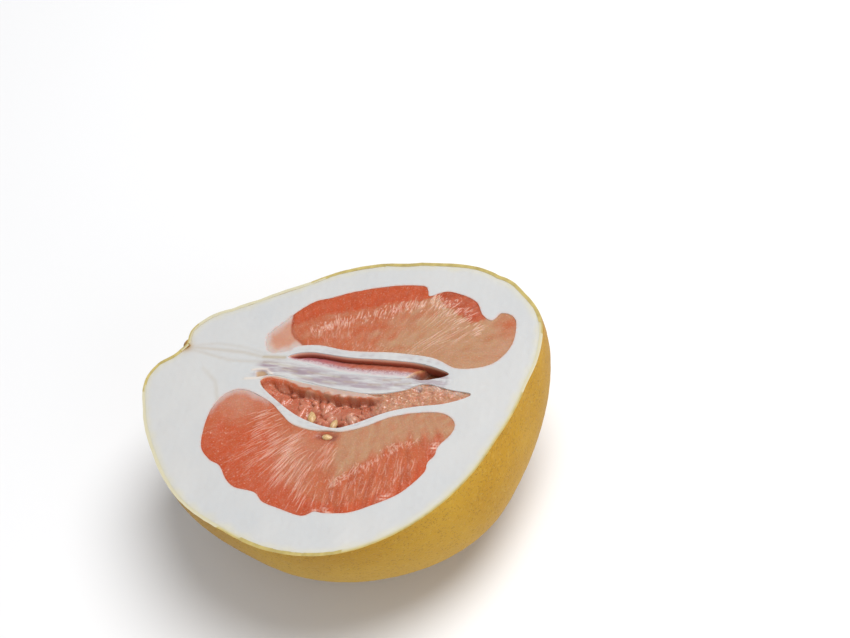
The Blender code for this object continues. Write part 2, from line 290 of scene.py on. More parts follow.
def reliefSlab(name, low, high, step, surface, floor):
    # A block whose top follows a surface, from a fine grid
    size = np.array(high) - np.array(low)
    middle = (np.array(high) + np.array(low)) / 2
    bpy.ops.mesh.primitive_grid_add(
        x_subdivisions=int(size[0] / step), y_subdivisions=int(size[1] / step), size=1,
    )
    slab = bpy.context.object
    slab.name = name
    x, y = (readVectors(slab.data.vertices, "co")[:, :2] * size + middle).T
    setPoints(slab, np.stack([x, y, surface(x, y)], axis=1))
    setMode("EDIT")
    bpy.ops.mesh.select_mode(type="EDGE")
    bpy.ops.mesh.select_all(action="DESELECT")
    bpy.ops.mesh.select_non_manifold()
    bpy.ops.mesh.extrude_region_move(TRANSFORM_OT_translate={"value": (0, 0, (floor - 30) * mm)})
    setMode("OBJECT")
    points = getPoints(slab)
    points[:, 2] = np.maximum(points[:, 2], floor)
    setPoints(slab, points)
    setMode("EDIT")
    bpy.ops.mesh.edge_face_add()
    bpy.ops.mesh.select_mode(type="VERT")
    setMode("OBJECT")
    fixNormals(slab)
    return slab


def setMaterials(item, *materials):
    item.data.materials.clear()
    for material in materials:
        item.data.materials.append(material)


def finishPiece(item, node, angle):
    makeActive(item)
    bpy.ops.object.shade_smooth_by_angle(angle=math.radians(angle))
    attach(item, "root")
    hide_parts(node)


# Soft noise, distances and spots on the face

def waves(x, y, size, seed):
    # Soft lumps of about the given size, from a few crossing waves
    rng = np.random.default_rng(seed)
    total = np.zeros_like(x)
    for _ in range(7):
        angle = rng.uniform(0, 2 * math.pi)
        reach = rng.uniform(0.7, 1.5) * 2 * math.pi / size
        phase = rng.uniform(0, 2 * math.pi)
        total += np.sin(reach * (x * math.cos(angle) + y * math.sin(angle)) + phase)
    return total / 7 ** 0.5


def distanceToPath(x, y, path):
    # Distance to a line through the points, and how far along it, from 0 to 1
    best = np.full_like(x, 1e9)
    along = np.zeros_like(x)
    count = len(path) - 1
    for index in range(count):
        ax, ay = path[index]
        bx, by = path[index + 1]
        lengthSquared = (bx - ax) ** 2 + (by - ay) ** 2
        t = np.clip(((x - ax) * (bx - ax) + (y - ay) * (by - ay)) / lengthSquared, 0, 1)
        away = np.hypot(x - ax - t * (bx - ax), y - ay - t * (by - ay))
        closer = away < best
        best = np.where(closer, away, best)
        along = np.where(closer, (index + t) / count, along)
    return best, along


def edgeDistance(x, y, dense):
    # Distance to a closed outline
    return distanceToPath(x, y, np.vstack([dense, dense[:1]]))[0]


def isInside(x, y, dense):
    inside = np.zeros(len(x), dtype=bool)
    previous = dense[-1]
    for point in dense:
        crosses = (point[1] > y) != (previous[1] > y)
        slope = (previous[0] - point[0]) * (y - point[1]) / (previous[1] - point[1] + 1e-12) + point[0]
        inside ^= crosses & (x < slope)
        previous = point
    return inside


def soft(away, width):
    # 1 at no distance, fading over the width
    return np.exp(-(away / width) ** 2)


def spot(x, y, cx, cy, wide, tall, turn=0.0):
    # A soft round spot, 1 in the middle
    c, s = math.cos(math.radians(turn)), math.sin(math.radians(turn))
    dx, dy = x - cx, y - cy
    return soft(dx * c + dy * s, wide) * soft(dy * c - dx * s, tall)


def spots(x, y, rows):
    # Each row has a strength, and then the place, half sizes and turn of a spot
    return sum(strength * spot(x, y, *place) for strength, *place in rows)


def pathLines(x, y, paths, width, combine=np.maximum):
    # 1 on the paths, fading over the width
    total = np.zeros_like(x)
    for path in paths:
        total = combine(total, soft(distanceToPath(x, y, path)[0], width))
    return total


# Materials

def newMaterial(name):
    material = bpy.data.materials.new(name)
    material.use_nodes = True
    return material, material.node_tree


def addNode(tree, kind, **settings):
    node = tree.nodes.new("ShaderNode" + kind)
    for key, value in settings.items():
        setattr(node, key, value)
    return node


def readMark(tree, name):
    return addNode(tree, "Attribute", attribute_name=name).outputs["Fac"]


def setInputs(node, values):
    for name, value in values.items():
        node.inputs[name].default_value = value


def plug(tree, socket, value):
    # The value is a colour, a number or the output of another node
    if isinstance(value, tuple):
        socket.default_value = (*value, 1.0)
    elif isinstance(value, (int, float)):
        socket.default_value = value
    else:
        tree.links.new(value, socket)


def addNoise(tree, scale, detail=3.0, roughness=0.5, stretch=(1, 1, 1), turn=0.0):
    where = addNode(tree, "TexCoord")
    turned = addNode(tree, "Mapping", vector_type="TEXTURE")
    setInputs(turned, {"Scale": stretch, "Rotation": (0, 0, math.radians(turn))})
    noise = addNode(tree, "TexNoise")
    setInputs(noise, {"Scale": scale, "Detail": detail, "Roughness": roughness})
    tree.links.new(where.outputs["Object"], turned.inputs["Vector"])
    tree.links.new(turned.outputs["Vector"], noise.inputs["Vector"])
    return noise.outputs["Fac"]


def remap(tree, value, low, high, newLow=0.0, newHigh=1.0):
    node = addNode(tree, "MapRange")
    setInputs(node, {"From Min": low, "From Max": high, "To Min": newLow, "To Max": newHigh})
    tree.links.new(value, node.inputs["Value"])
    return node.outputs["Result"]


def clouds(tree, low, high, *noise):
    # Noise that is 0 up to the low value and 1 from the high value
    return remap(tree, addNoise(tree, *noise), low, high)


def multiply(tree, first, second):
    node = addNode(tree, "Math", operation="MULTIPLY")
    plug(tree, node.inputs[0], first)
    plug(tree, node.inputs[1], second)
    return node.outputs[0]


def mixColour(tree, amount, first, second):
    node = addNode(tree, "Mix", data_type="RGBA")
    for number, value in ((0, amount), (6, first), (7, second)):  # the sockets that a colour mix uses
        plug(tree, node.inputs[number], value)
    return node.outputs[2]


def layColours(tree, colour, look, *layers):
    # Each layer is an amount and the name of its colour, or the name of a mark that has a colour
    for layer in layers:
        amount, name = (readMark(tree, layer), layer) if isinstance(layer, str) else layer
        colour = mixColour(tree, amount, colour, look[name])
    return colour


def finishMaterial(material, colour, look, roughness=None, height=None):
    # In the look, inside is the weight, colour reach and depth of the light under the surface,
    # and bump is a noise, its strength and its depth
    tree = material.node_tree
    shader = tree.nodes["Principled BSDF"]
    tree.links.new(colour, shader.inputs["Base Color"])
    plug(tree, shader.inputs["Roughness"], look["roughness"] if roughness is None else roughness)
    setInputs(shader, look.get("shader", {}))
    for name, value in zip(("Weight", "Radius", "Scale"), look.get("inside", ())):
        shader.inputs["Subsurface " + name].default_value = value
    noise, strength, depth = look.get("bump", (None, 0, 0))
    if depth:
        bump = addNode(tree, "Bump")
        setInputs(bump, {"Strength": strength, "Distance": depth})
        tree.links.new(addNoise(tree, *noise) if height is None else height, bump.inputs["Height"])
        tree.links.new(bump.outputs["Normal"], shader.inputs["Normal"])
    return material


# Rind

rindLook = {
    "gold": (0.475, 0.265, 0.016),
    "deepGold": (0.385, 0.195, 0.009),
    "paleGold": (0.53, 0.345, 0.06),
    "pore": (0.20, 0.095, 0.007),
    "poreScale": 900.0,
    "roughness": 0.5,
    "shader": {"Specular IOR Level": 0.14},
    "inside": (0.1, (1.0, 0.6, 0.15), 0.003),
    "bump": (None, 0.4, 0.0004),
    "dimpleSize": 0.004,
    "dimpleDepth": 0.0002,
    "detail": (300, 200),
    "tableGap": 0.01,
}
rimLook = {
    "cream": (0.54, 0.50, 0.35),
    "olive": (0.36, 0.28, 0.09),
    "paleOlive": (0.50, 0.40, 0.14),
    "blend": (0.2, 0.8),
    "roughness": 0.5,
    "inside": (0.2, (1.0, 0.85, 0.6), 0.002),
}


def makeRindMaterial():
    material, tree = newMaterial("goldenRind")
    colour = mixColour(tree, clouds(tree, 0.35, 0.68, 22, 4), rindLook["deepGold"], rindLook["gold"])
    patch = multiply(tree, clouds(tree, 0.45, 0.75, 9, 2), 0.6)
    cells = addNode(tree, "TexVoronoi")
    cells.inputs["Scale"].default_value = rindLook["poreScale"]
    tree.links.new(addNode(tree, "TexCoord").outputs["Object"], cells.inputs["Vector"])
    pore = remap(tree, cells.outputs["Distance"], 0.15, 0.45, 1.0, 0.0)
    darkPore = multiply(tree, multiply(tree, pore, clouds(tree, 0.38, 0.58, 300, 2)), 0.55)
    fleck = multiply(tree, clouds(tree, 0.56, 0.70, 620, 2, 0.6), 0.35)
    layers = ((patch, "paleGold"), (darkPore, "pore"), (fleck, "paleGold"))
    colour = layColours(tree, colour, rindLook, *layers)
    return finishMaterial(material, colour, rindLook, height=remap(tree, pore, 0, 1, 1, 0))


def makeRimMaterial():
    # A thin olive skin line at the outside, and pale cream next to the pith
    material, tree = newMaterial("cutSkin")
    skinLine = mixColour(tree, clouds(tree, 0.3, 0.7, 260, 3), rimLook["olive"], rimLook["paleOlive"])
    share = remap(tree, readMark(tree, "outside"), *rimLook["blend"])
    return finishMaterial(material, mixColour(tree, share, rimLook["cream"], skinLine), rimLook)


def makeRind():
    rind = skinBall("fruitRind", 0.0, rindLook["detail"])
    trim(rind, faceLevel, (0, 0, 1), False)
    dimples = bpy.data.textures.new("dimples", "VORONOI")
    dimples.noise_scale = rindLook["dimpleSize"]
    dimple = {"texture": dimples, "strength": rindLook["dimpleDepth"], "mid_level": 0.9}
    applyModifier(rind, "DISPLACE", texture_coords="LOCAL", **dimple)
    trim(rind, rindLook["tableGap"] * mm, (0, 0, -1), True)
    fixNormals(rind)
    setMaterials(rind, makeRindMaterial(), makeRimMaterial())
    applyModifier(rind, "SOLIDIFY", thickness=skin["thickness"] * mm, offset=-1, material_offset_rim=1)
    points = getPoints(rind)
    points[:, 2] = np.clip(points[:, 2], rindLook["tableGap"] - faceLevel / mm, 0.1)
    setPoints(rind, points)
    reach = np.linalg.norm(points, axis=1)
    outer = np.linalg.norm(skinPoints(points / reach[:, None]), axis=1)
    setMark(rind, "outside", reach > outer - skin["thickness"] / 2)
    finishPiece(rind, "rind", 35)


makeRind()
print("rind made")

# Pith. The colours from edge to blush have the names of the marks that they belong to

pithLook = {
    "white": (0.525, 0.52, 0.51),
    "cool": (0.487, 0.494, 0.498),
    "lavender": (0.29, 0.215, 0.25),
    "edge": (0.56, 0.53, 0.42),
    "line": (0.40, 0.34, 0.25),
    "stain": (0.36, 0.20, 0.05),
    "window": (0.42, 0.27, 0.16),
    "membrane": (0.64, 0.56, 0.49),
    "blush": (0.60, 0.36, 0.30),
    "roughness": 0.6,
    "inside": (0.3, (1.0, 0.85, 0.75), 0.003),
    "bump": ((240, 3, 0.5), 0.12, 0.0006),
    "rimRound": 0.3,
    "lean": 0.012,
    "grid": 0.55,
    "detail": (220, 140),
    "slab": ((-88, -78), (88, 80), -90),  # low and high corners and the underside, in mm
    "underRind": 0.04,  # how far the pith reaches into the rind, in mm
}
notch = (-73.7, -1.5)
streakPaths = (
    ((-73.0, -1.5), (-60, 1.5), (-45, 4.6), (-36, 5.4), (-26, 8.2)),
    ((-73.0, -2.2), (-62, -1.5), (-50, -1.0), (-40, 1.6), (-30, 4.5), (-18, 5.5)),
    ((-72.0, -1.0), (-60, 4.5), (-48, 6.5), (-36, 7.0)),
    ((-59, -8.3), (-50, -12), (-43.5, -19.6), (-41.5, -24)),
)
streakLook = ((0.16, 0.35, 0.9), (0.12, 0.22, 0.9), (0.10, 0.12, 0.8), (0.0, 0.4, 0.9))  # stain, line, width
darkLine = ((-35.5, 5.5), (-31, 6.8), (-26, 8.3))
stripPath = (
    (-36, -0.5), (-27, 2.5), (-16, 3.6), (-5, 4.6), (8, 6.6), (20, 9.8), (31, 13.8), (39, 17.2), (46, 20),
)
darkStreaks = (
    ((-18, 2.2), (-13, 2.5), (-8, 3.0)),
    ((-3, 3.6), (3, 4.6)),
    ((17, 8.7), (22, 10.3)),
    ((-34, 3.2), (-27, 4.6), (-20, 5.0)),
    ((-12, 5.4), (-4, 6.6), (3, 7.9)),
    ((6, 6.4), (12, 7.9)),
    ((-24, 3.2), (-17, 4.0)),
    ((22, 12.6), (29, 15.2)),
    ((28, 12.4), (34, 15.0)),
)
windowOutline = ((-34.4, -2.6), (-34.1, -1.4), (-31.6, -0.4), (-28.6, -1.4), (-31.0, -3.0), (-32.9, -4.1))
membranes = (
    ((-37.5, -6.5), (-32.8, -4.7), (-29.5, -3.1), (-26.3, -1.6), (-20, -0.3)),
    ((-36.5, -1.6), (-33.5, -0.2), (-30.6, 0.6), (-27.0, -0.7)),
)


def windowShare(x, y, border):
    # 1 inside the small window, fading to its edge
    dense = smoothOutline(windowOutline, 4)
    return isInside(x, y, dense) * np.clip(edgeDistance(x, y, dense) / border, 0, 1)


def pithSurface(x, y):
    lumps = 0.06 * waves(x, y, 16, 3) + 0.02 * waves(x, y, 5, 4)
    away, _ = distanceToPath(x, y, stripPath)
    ripples = 0.16 * np.sin(away * 2.3 + 0.12 * x) + 0.10 * waves(0.3 * x + y, 3.2 * y - x, 5, 40)
    ripples *= soft(away, 4.6) * ramp(-40, -29, x)
    sunk = 0.12 * pathLines(x, y, streakPaths[:3], 0.9, np.add)
    sunk += 0.25 * pathLines(x, y, darkStreaks, 0.45, np.add) + 0.7 * windowShare(x, y, 0.6)
    raised = 0.28 * pathLines(x, y, membranes, 0.5)
    rounded = 0.05 * ramp(1.6, 0.2, rimDistance(x, y))
    return -0.02 + lumps + ripples - sunk + raised - rounded


def outlineSpan(x, outline):
    # Lower and upper y of a long outline at each x
    dense = segmentOutline(outline, 10)
    first, last = int(np.argmin(dense[:, 0])), int(np.argmax(dense[:, 0]))
    turned = np.roll(dense, -first, axis=0)
    split = (last - first) % len(dense)
    chains = []
    for chain in (turned[: split + 1], np.vstack([turned[split:], turned[:1]])):
        chain = chain[np.argsort(chain[:, 0])]
        chains.append(np.interp(x, chain[:, 0], chain[:, 1]))
    return np.minimum(*chains), np.maximum(*chains)


def rimDistance(x, y):
    # Distance to the edge of the pith
    angles = np.linspace(0, math.pi, 120)
    halves = []
    for side in (1, -1):
        unit = np.stack([-np.cos(angles), side * np.sin(angles), 0 * angles], axis=1)
        halves.append(skinPoints(unit)[::side, :2])
    return distanceToPath(x, y, np.vstack(halves))[0] - skin["thickness"]


def pocketLevels(depth):
    # The rim is a little rounded, and the walls lean in slightly
    rim = pithLook["rimRound"]
    levels = [(6, rim + 0.4), (0.2, rim), (-0.15, rim * 0.55), (-0.5, rim * 0.2), (-1.0, 0.0)]
    height = -1.8
    while height > -depth:
        levels.append((height, height * pithLook["lean"]))
        height *= 1.35
    return levels + [(-depth, -depth * pithLook["lean"])]


def makePithMaterial():
    material, tree = newMaterial("whitePith")
    streaky = multiply(tree, readMark(tree, "strip"), clouds(tree, 0.36, 0.56, 420, 3, 0.6, (6, 0.7, 1), 15))
    layers = ("edge", (streaky, "lavender"), "line", "stain", "blush", "window", "membrane")
    colour = mixColour(tree, clouds(tree, 0.3, 0.7, 30, 4), pithLook["cool"], pithLook["white"])
    return finishMaterial(material, layColours(tree, colour, pithLook, *layers), pithLook)


wallLook = {
    "cleft": {  # red brown with fine upright streaks, paler just under the edge; the red brown is partly painted shade under the septum edge
        "low": (0.38, 0.095, 0.05),
        "high": (0.44, 0.145, 0.095),
        "wallTop": (0.80, 0.50, 0.36),
        "streaks": (0.38, 0.66, 900, 3, 0.6, (1, 1, 7)),
        "share": 0.55,
        "roughness": 0.4,
        "inside": (0.25, (1.0, 0.3, 0.15), 0.002),
        "bump": ((900, 3, 0.6, (1, 1, 7)), 0.4, 0.0005),
    },
    "opened": {  # torn and smooth: peach at the top, then gold and orange red
        "low": (0.46, 0.12, 0.04),
        "high": (0.62, 0.31, 0.11),
        "wallTop": (0.68, 0.40, 0.24),
        "streaks": (0.4, 0.62, 420, 4, 0.6, (2, 1, 1), 15),
        "share": 0.6,
        "roughness": 0.3,
        "inside": (0.4, (1.0, 0.3, 0.12), 0.003),
        "bump": ((700, 3, 0.6), 0.3, 0.0005),
    },
}


def makeWallMaterial(segment):
    look = wallLook[segment]
    material, tree = newMaterial(segment + "Wall")
    streaks = multiply(tree, clouds(tree, *look["streaks"]), look["share"])
    colour = mixColour(tree, streaks, look["low"], look["high"])
    return finishMaterial(material, layColours(tree, colour, look, "wallTop"), look)


def markPith(pith):
    x, y, z = getPoints(pith).T
    top = ramp(-1.5, -0.8, z)
    stain = spot(x, y, *notch, 3.36, 2.4)
    line = 0.9 * pathLines(x, y, (darkLine,), 0.8)
    for path, (stained, dark, width) in zip(streakPaths, streakLook):
        near, along = distanceToPath(x, y, path)
        stain = np.maximum(stain, stained * soft(near, 0.8) * (1 - 0.8 * along))
        line = np.maximum(line, dark * soft(near, width) * (0.45 + 0.55 * along))
    line = np.maximum(line, 0.5 * pathLines(x, y, darkStreaks, 0.45))
    away, along = distanceToPath(x, y, stripPath)
    strip = np.exp(-(away / 4.0) ** 4) * (1.0 - 0.35 * along) * ramp(-38, -32, x)
    strip = np.maximum(strip, 0.9 * spot(x, y, -28, 2.4, 4.8, 2.0))
    strip = np.maximum(strip, pathLines(x, y, darkStreaks, 0.6))
    shade = 0.5 + 0.5 * waves(x, y, 5, 41)
    _, aboveCleft = outlineSpan(x, "cleft")
    belowOpened, aboveOpened = outlineSpan(x, "opened")
    creaseShades = (  # painted crease shade in lavender along the pocket edges: distance from an edge, width, ends, and each crease's offset and strength
        (y - aboveCleft - 0.25 * waves(x, y, 9, 42), 0.45, (-24, -18, 48, 38),
         ((0.9, 0.30), (1.9, 0.45), (2.6, 0.25))),
        (belowOpened - y - 0.2 * waves(x, y, 8, 43), 0.4, (-30, -24, 40, 25), ((0.7, 0.35), (1.6, 0.50))),
    )
    for away, width, ends, rows in creaseShades:
        fade = shade * ramp(*ends[:2], x) * ramp(*ends[2:], x)
        for offset, strength in rows:
            strip = np.maximum(strip, strength * soft(away - offset, width) * fade)
    strip *= 1 - soft(y - aboveOpened - 0.5, 0.45) * ramp(-27, -20, x) * ramp(34, 24, x)
    blush = np.zeros_like(x)
    for outline in ("upper", "lower"):
        dense = segmentOutline(outline, 6)
        near = edgeDistance(x, y, dense)
        mottle = 0.5 + 0.35 * waves(x, y, 2.5, 9)
        blush = np.maximum(blush, mottle * soft(near, 0.6))
        blush = np.maximum(blush, isInside(x, y, dense) * ramp(0.1, -0.3, z))
    torn = 0.55 * soft(near - 0.2, 0.4) * (y > -20) * ramp(-8, 0, x) * ramp(26, 18, x)
    edge = rimDistance(x, y) + 0.5 * waves(x, y, 9, 8)
    marks = {
        "line": line * top,
        "strip": strip * top,
        "window": windowShare(x, y, 0.4) * top,
        "membrane": 0.85 * pathLines(x, y, membranes, 0.55) * top,
        "stain": np.clip(np.maximum(stain, torn * top), 0, 1),
        "blush": np.clip(blush, 0, 1),
        "edge": np.clip(1 - edge / 3.2, 0, 1) ** 1.5 * 0.8,
        "wallTop": ramp(-2.8, -0.9, z),
    }
    for name, values in marks.items():
        setMark(pith, name, values)


def paintPockets(pith):
    # The walls of the cleft and of the opened segment get their own finishes
    x, y, z = ((readVectors(pith.data.polygons, "center") - np.array(faceCentre)) / mm).T
    slots = np.zeros(len(x), dtype=np.int32)
    for number, outline in ((1, "cleft"), (2, "opened")):
        dense = segmentOutline(outline, 8)
        inPocket = (isInside(x, y, dense) | (edgeDistance(x, y, dense) < 0.25)) & (z < -0.45)
        slots[inPocket] = number
    pith.data.polygons.foreach_set("material_index", slots)
    pith.data.update()


def makePith():
    pith = skinBall("fruitPith", skin["thickness"] - pithLook["underRind"], pithLook["detail"])
    low, high, floor = pithLook["slab"]
    slab = reliefSlab("faceSlab", low, high, pithLook["grid"], pithSurface, floor)
    cutWith(pith, slab, "INTERSECT")
    removeTools(slab)
    for outline in beds:
        tool = outlineTool(outline, pocketLevels(-bedFloor(outline)))
        bowl = bedTool(outline)
        cutWith(tool, bowl, "INTERSECT")
        cutWith(pith, tool, "DIFFERENCE")
        removeTools(tool, bowl)
    markPith(pith)
    setMaterials(pith, makePithMaterial(), makeWallMaterial("cleft"), makeWallMaterial("opened"))
    paintPockets(pith)
    finishPiece(pith, "pith", 50)


makePith()
print("pith made")

# Juice sacs

def grainAngle(x, y, grain):
    # Direction in which the sacs point, blended between a few places where it is known
    x, y = np.asarray(x, dtype=float), np.asarray(y, dtype=float)
    along, across = np.zeros_like(x), np.zeros_like(x)
    for gx, gy, degrees in grain:
        weight = 1 / ((x - gx) ** 2 + (y - gy) ** 2 + 9.0) ** 1.5
        along += weight * math.cos(math.radians(degrees))
        across += weight * math.sin(math.radians(degrees))
    return np.arctan2(across, along)


def coverWithSacs(outline, grain, look, seed):
    # Juice sacs scattered over the whole outline, each turned with the grain
    rng = np.random.default_rng(seed)
    dense = segmentOutline(outline, 4)
    low, high = dense.min(0) - 3, dense.max(0) + 3
    count = look["count"]
    cx, cy = rng.uniform(low[0], high[0], count), rng.uniform(low[1], high[1], count)
    turn = grainAngle(cx, cy, grain) + rng.normal(0, look["stray"], count)
    return np.stack([
        cx, cy, turn, rng.uniform(*look["length"], count) / 2, rng.uniform(*look["width"], count) / 2,
        rng.uniform(*look["height"], count), rng.uniform(0, look["lift"], count), rng.uniform(0, 1, count),
    ], axis=1)


def alongSac(x, y, cx, cy, turn, halfLength):
    # The points near a sac, their place along it from -1 to 1, and how far they lie aside
    near = np.nonzero((np.abs(x - cx) < halfLength + 1) & (np.abs(y - cy) < halfLength + 1))[0]
    dx, dy = x[near] - cx, y[near] - cy
    along = (dx * math.cos(turn) + dy * math.sin(turn)) / halfLength
    return near, along, dy * math.cos(turn) - dx * math.sin(turn)


def sacField(x, y, sacs):
    # Height, border and tint of overlapping sacs. Each sac is a spindle that is thicker at its outer end
    best = np.zeros_like(x)
    second = np.zeros_like(x)
    tint = np.full_like(x, 0.5)
    for cx, cy, turn, halfLength, halfWidth, height, lift, shade in sacs:
        near, along, aside = alongSac(x, y, cx, cy, turn, halfLength)
        body = np.clip(1 - along ** 2, 0, 1)
        width = halfWidth * np.sqrt(body) * (0.8 + 0.3 * along) + 1e-6
        bulge = np.clip(1 - (aside / width) ** 2, 0, 1)
        rise = np.where((body > 0) & (bulge > 0), lift + height * np.sqrt(bulge) * body ** 0.3, 0)
        over = rise > best[near]
        second[near] = np.where(over, best[near], np.maximum(second[near], rise))
        tint[near] = np.where(over, shade, tint[near])
        best[near] = np.where(over, rise, best[near])
    return best, best - second, tint


def drawHairs(rows, grain, seed):
    # Fine raised edges of sacs with painted glints, scattered along a few paths. Each row has a path, how far
    # the edges spread from it, their count, length, width, rise and painted glint, and how far they stray
    # from the grain
    rng = np.random.default_rng(seed)
    hairs = []
    for points, spread, count, length, width, rise, glint, stray in rows:
        path = np.array(points, dtype=float)
        for _ in range(count):
            t = rng.uniform(0, len(path) - 1)
            index = min(int(t), len(path) - 2)
            cx, cy = path[index] + (path[index + 1] - path[index]) * (t - index) + rng.normal(0, spread, 2)
            turn = float(grainAngle(cx, cy, grain)) + rng.normal(0, stray)
            hairs.append((
                cx, cy, turn, rng.uniform(*length) / 2, rng.uniform(*width) / 2,
                rng.uniform(0.6, 1) * rise, rng.uniform(0.55, 1) * glint, rng.normal(0, 0.06),
            ))
    return hairs


def hairField(x, y, hairs):
    # How high each edge rises, and how strong its painted glint is
    rise = np.zeros_like(x)
    glint = np.zeros_like(x)
    for cx, cy, turn, halfLength, halfWidth, height, bright, bend in hairs:
        near, along, aside = alongSac(x, y, cx, cy, turn, halfLength)
        aside -= bend * halfLength * along ** 2
        shape = soft(aside, halfWidth) * np.clip(1 - along ** 2, 0, 1) ** 0.6
        rise[near] = np.maximum(rise[near], height * shape)
        glint[near] = np.maximum(glint[near], bright * shape)
    return rise, glint


pulpLook = {
    "coral": (0.445, 0.072, 0.020),
    "orange": (0.415, 0.112, 0.045),
    "tan": (0.40, 0.218, 0.115),
    # Pale skin colour, also used for painted glints
    "filmAndGlint": (0.78, 0.53, 0.44),
    "pale": (0.50, 0.27, 0.19),
    "deep": (0.22, 0.030, 0.010),
    "white": pithLook["white"],
    "shader": {"Specular IOR Level": 0.3, "Coat Roughness": 0.12},
    "inside": (0.3, (1.0, 0.28, 0.12), 0.0025),
    "bump": ((1100, 3, 0.55), 0.3, 0.0003),
    "grid": 0.25,
    "bedGap": 0.3,
    "level": -0.28,
    "highest": 0.12,
    "sacRelief": 0.16,
    "hairRelief": 0.7,
}


def makePulpMaterial(name, roughness=(0.22, 0.40), coat=0.05, grain=0.15):
    # zone runs from coral at 0 over orange to tan at 1
    material, tree = newMaterial(name)
    zone = readMark(tree, "zone")
    colour = mixColour(tree, remap(tree, zone, 0.0, 0.5), pulpLook["coral"], pulpLook["orange"])
    toTan = remap(tree, zone, 0.5, 1.0)
    tint = remap(tree, readMark(tree, "tint"), 0.0, 1.0, 0.14, 0.0)
    juice = multiply(tree, clouds(tree, 0.45, 0.72, 420, 4, 0.65), grain)
    # Fine painted glints over the pulp
    speckGlint = multiply(tree, clouds(tree, 0.54, 0.72, 1500, 3, 0.6), grain * 1.5)
    colour = layColours(tree, colour, pulpLook, (toTan, "tan"), (tint, "deep"), "deep")
    colour = layColours(tree, colour, pulpLook, (juice, "pale"), (speckGlint, "filmAndGlint"), "pale", "filmAndGlint", "white")
    rough = remap(tree, addNoise(tree, 180, 3), 0.3, 0.7, *roughness)
    tree.nodes["Principled BSDF"].inputs["Coat Weight"].default_value = coat
    return finishMaterial(material, colour, pulpLook, roughness=rough)


def makePulp(outline, describe, material):
    # describe gives the height of the top and the marks for the material at each point
    dense = segmentOutline(outline, 4)
    low, high = dense.min(0) - 1.5, dense.max(0) + 1.5
    floor = bedFloor(outline)
    pulp = reliefSlab(outline + "Pulp", low, high, pulpLook["grid"], lambda x, y: describe(x, y)[0], floor)
    walls = outlineTool(outline, [(6, 0.15), (0, 0.15), (-1.2, 0.0), (floor - 6, -0.7)])
    bowl = bedTool(outline, pulpLook["bedGap"])
    cutWith(pulp, walls, "INTERSECT")
    cutWith(pulp, bowl, "INTERSECT")
    removeTools(walls, bowl)
    x, y, _ = getPoints(pulp).T
    for key, values in describe(x, y)[1].items():
        setMark(pulp, key, np.clip(values + 0 * x, 0, 1))
    setMaterials(pulp, material)
    finishPiece(pulp, "pulp_" + outline, 70)


def pulpTop(x, y, height, rise, sunk, seed):
    # Sacs and bright edges on slow waves
    relief = pulpLook["sacRelief"] * height + pulpLook["hairRelief"] * rise
    top = pulpLook["level"] + relief + 0.05 * waves(x, y, 14, seed) - sunk
    return np.minimum(top, pulpLook["highest"])


def sacGlintAndFilm(glint, border):
    # Painted glint on the bright edges, and pale skin at the borders of the sacs
    return 1.15 * glint ** 1.35, 0.03 * soft(border, 0.08)


# Upper pulp

upperGrain = (
    (-30, 20, 150), (-24, 32, 135), (-20, 30, 125), (-10, 25, 118), (0, 40, 108), (12, 48, 103),
    (8, 28, 95), (25, 52, 92), (34, 55, 66), (30, 44, 66), (45, 47, 53), (38, 38, 49), (50, 50, 50),
    (52, 38, 32), (60, 50, 40), (60, 36, 5), (28, 30, 62), (20, 28, 86),
)
upperSacLook = {
    "count": 900, "length": (8, 18), "width": (1.8, 3.6), "height": (0.4, 0.9), "lift": 0.3, "stray": 0.07,
}
upperHairs = (
    (((-22, 24), (-15, 29), (-8, 33), (3, 41), (12, 47), (20, 51)),
     1.3, 120, (1.8, 4.2), (0.28, 0.42), 0.3, 0.75, 0.12),
    (((-20, 23), (-12, 26), (-5, 30)), 2.6, 60, (1.5, 3.5), (0.27, 0.39), 0.25, 0.45, 0.18),
    (((22, 52), (27, 52), (34, 50), (41, 48), (49, 48)),
     2.4, 80, (2.0, 5.5), (0.27, 0.36), 0.3, 0.85, 0.16),
    (((26, 55), (33, 54), (40, 52)), 1.6, 40, (0.8, 2.0), (0.3, 0.42), 0.3, 0.8, 0.4),
    (((-20, 25), (-15, 29), (-8, 33), (3, 41), (12, 47), (20, 51)),
     1.9, 85, (0.7, 1.8), (0.3, 0.4), 0.3, 0.85, 0.3),
    (((24, 46), (32, 44), (40, 44), (47, 44)), 2.2, 24, (5, 12), (0.27, 0.35), 0.22, 0.52, 0.09),
    (((28, 33), (34, 37), (42, 42)), 2.2, 24, (4, 10), (0.27, 0.34), 0.2, 0.56, 0.09),
    (((-2, 22.5), (8, 24), (20, 26), (30, 29)), 1.6, 80, (0.8, 2.2), (0.3, 0.47), 0.2, 0.38, 0.5),
    (((-12, 27), (4, 33), (16, 38), (30, 38), (45, 34), (58, 40)),
     5.0, 120, (2.5, 8), (0.27, 0.36), 0.1, 0.12, 0.09),
)
upperBand = (
    (-40, 16), (-34, 21), (-28, 26), (-20, 33), (-10, 37.5), (0, 43.5), (10, 49), (18, 52.5), (22, 56),
    (80, 70),
)
lobeTops = ((0, 90), (22, 60), (26, 54), (32, 52.5), (38, 51), (45, 49), (49, 53), (52, 60), (80, 90))
wedgeEdge = ((-36, 31), (-34, 28), (-31.6, 22.6), (-29.9, 20.2), (-27, 18.3), (-23.5, 17.2), (-20, 15.5))
upperSpots = {
    "hook": (61, 53, 7, 6),
    "hookLight": (63, 42, 3, 7, -20),
}


def heightOver(x, y, line):
    return y - np.interp(x, [place[0] for place in line], [place[1] for place in line])


upperSacs = coverWithSacs("upper", upperGrain, upperSacLook, 11)
upperHairList = drawHairs(upperHairs, upperGrain, 12)


